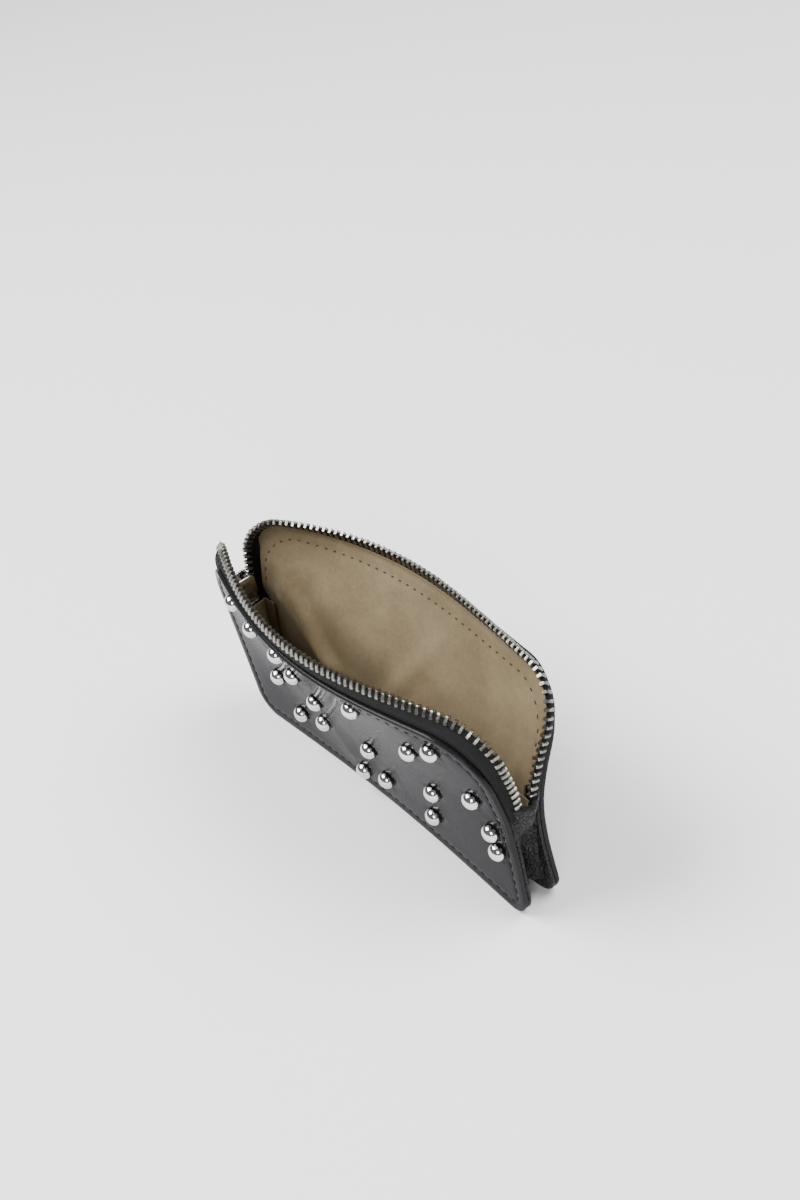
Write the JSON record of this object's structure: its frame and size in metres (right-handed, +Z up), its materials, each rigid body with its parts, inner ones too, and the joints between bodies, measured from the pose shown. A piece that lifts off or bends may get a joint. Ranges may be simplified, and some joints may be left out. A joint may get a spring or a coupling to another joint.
{
  "type": "zip pouch wallet",
  "caption": "Small open zip pouch wallet in black leather: domed studs on the front, metal-toothed zip round the mouth, slider with pull tab, khaki lining and folded gusset.",
  "frame": {"origin": "on the resting plane, under the centre of the box round the whole open pouch", "axes": "+X runs along the mouth away from the slider, the studded front faces -Y, and +Z is up out of the mouth"},
  "size_m": [0.1277, 0.044, 0.066],
  "materials": {
    "black_leather": "smooth polished calf leather",
    "khaki_lining": "soft matt lining leather",
    "zip_tape": "woven twill tape",
    "nickel_teeth": "nickel plated",
    "slider_metal": "polished nickel",
    "stud_metal": "polished domes"
  },
  "bodies": {
    "root": {"gusset": "black_leather", "gusset_lining": "khaki_lining", "bottom_stop": "nickel_teeth"},
    "front": {"front_panel": "black_leather", "front_lining": "khaki_lining", "front_zip_tape": "zip_tape", "front_tape_cord": "zip_tape", "front_teeth": "nickel_teeth", "front_top_stop": "nickel_teeth", "stud_domes": "stud_metal", "stud_posts": "stud_metal", "stud_backs": "stud_metal"},
    "back": {"back_panel": "black_leather", "back_lining": "khaki_lining", "back_zip_tape": "zip_tape", "back_tape_cord": "zip_tape", "back_teeth": "nickel_teeth", "back_top_stop": "nickel_teeth"},
    "slider": {"slider_body": "slider_metal", "slider_bridge": "slider_metal", "lock_spring": "slider_metal"},
    "pull": {"pull_tab": "slider_metal"}
  },
  "joints": [
    {"name": "front_mouth", "type": "hinge", "parent": "root", "child": "front", "pos_m": [0.0012, -0.0073, 0.004], "axis": [-1, 0, 0], "range_deg": [-6, 7], "deforming": ["front_panel", "front_lining", "front_zip_tape", "front_tape_cord", "front_teeth", "front_top_stop", "stud_domes", "stud_posts", "stud_backs", "gusset", "gusset_lining"]},
    {"name": "back_mouth", "type": "hinge", "parent": "root", "child": "back", "pos_m": [0.0012, 0.0003, 0.004], "axis": [1, 0, 0], "range_deg": [-6, 9], "deforming": ["back_panel", "back_lining", "back_zip_tape", "back_tape_cord", "back_teeth", "back_top_stop"]},
    {"name": "zip_slide", "type": "slide", "parent": "root", "child": "slider", "axis": [0, 0, 1], "range_m": [0, 0.006]},
    {"name": "tab_swing", "type": "hinge", "parent": "slider", "child": "pull", "pos_m": [-0.06246, -0.0035, 0.04103], "axis": [0, 1, 0], "range_deg": [0, 160]}
  ]
}
